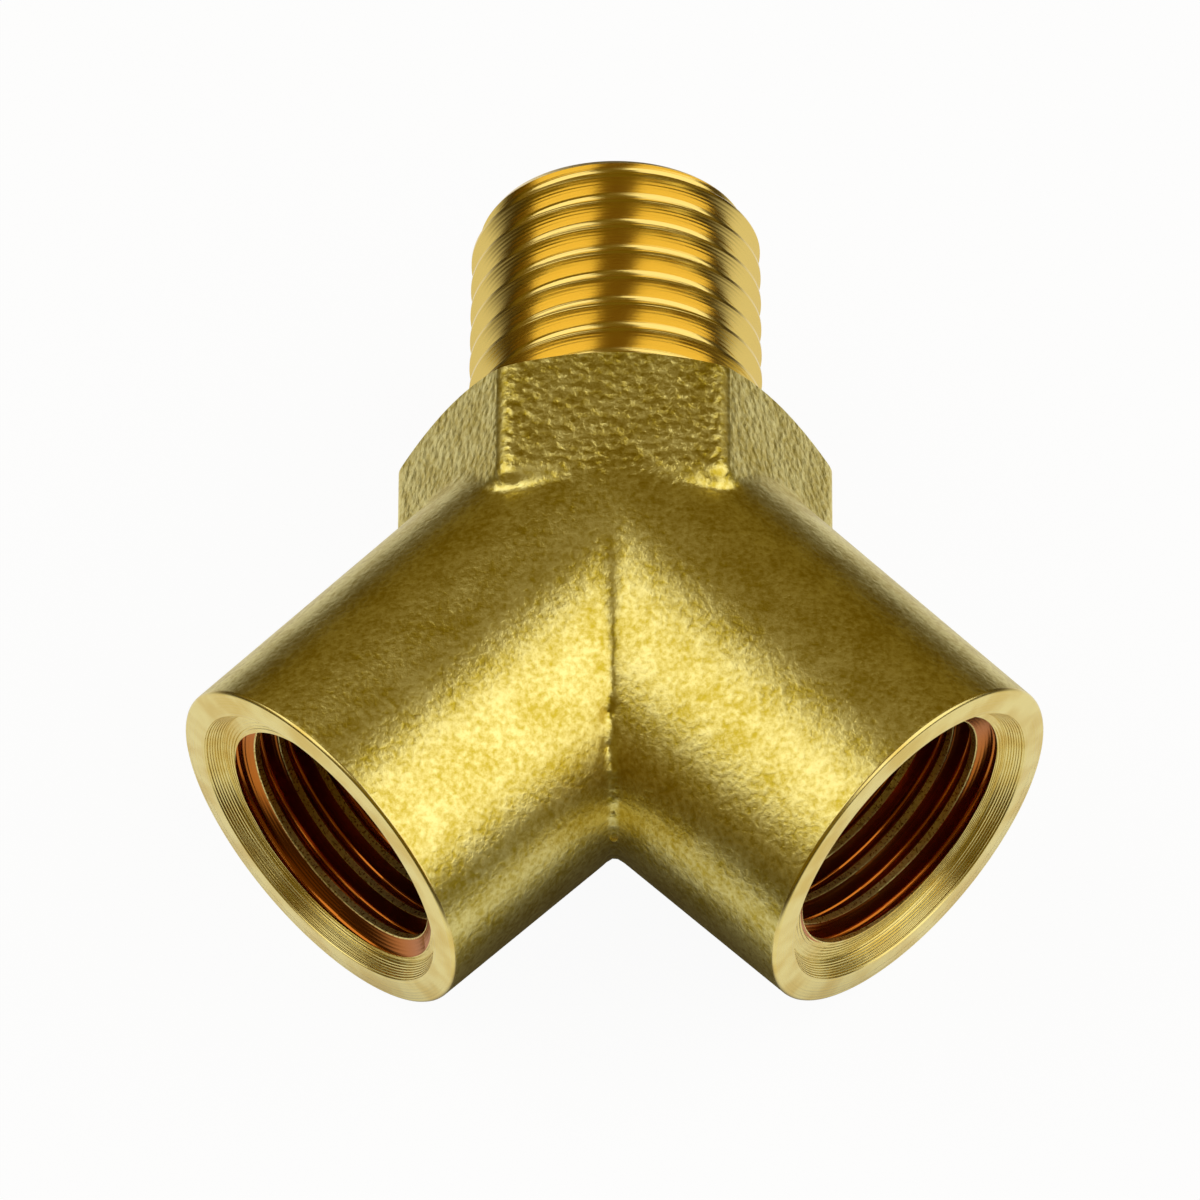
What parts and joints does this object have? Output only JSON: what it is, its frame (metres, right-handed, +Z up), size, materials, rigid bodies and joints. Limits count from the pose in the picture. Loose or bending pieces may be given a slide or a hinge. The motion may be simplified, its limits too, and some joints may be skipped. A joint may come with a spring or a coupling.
{
  "type": "y pipe fitting",
  "caption": "Forged brass Y pipe fitting with a hexagon, a male taper-threaded stem and two female threaded legs at right angles, for joining or splitting an air or vacuum line.",
  "frame": {"origin": "on the table, under the middle of the fitting as it lies flat", "axes": "+Y along the stem to its threaded end, +X to the right, +Z up; the stem's and both legs' axes lie in one level plane 8.69 mm above the table"},
  "size_m": [0.0376, 0.0386, 0.0174],
  "materials": {
    "brass": "shot-blasted forged brass, machined bright on the threads and on the leg faces"
  },
  "bodies": {
    "root": {"fitting_body": "brass"}
  },
  "joints": []
}
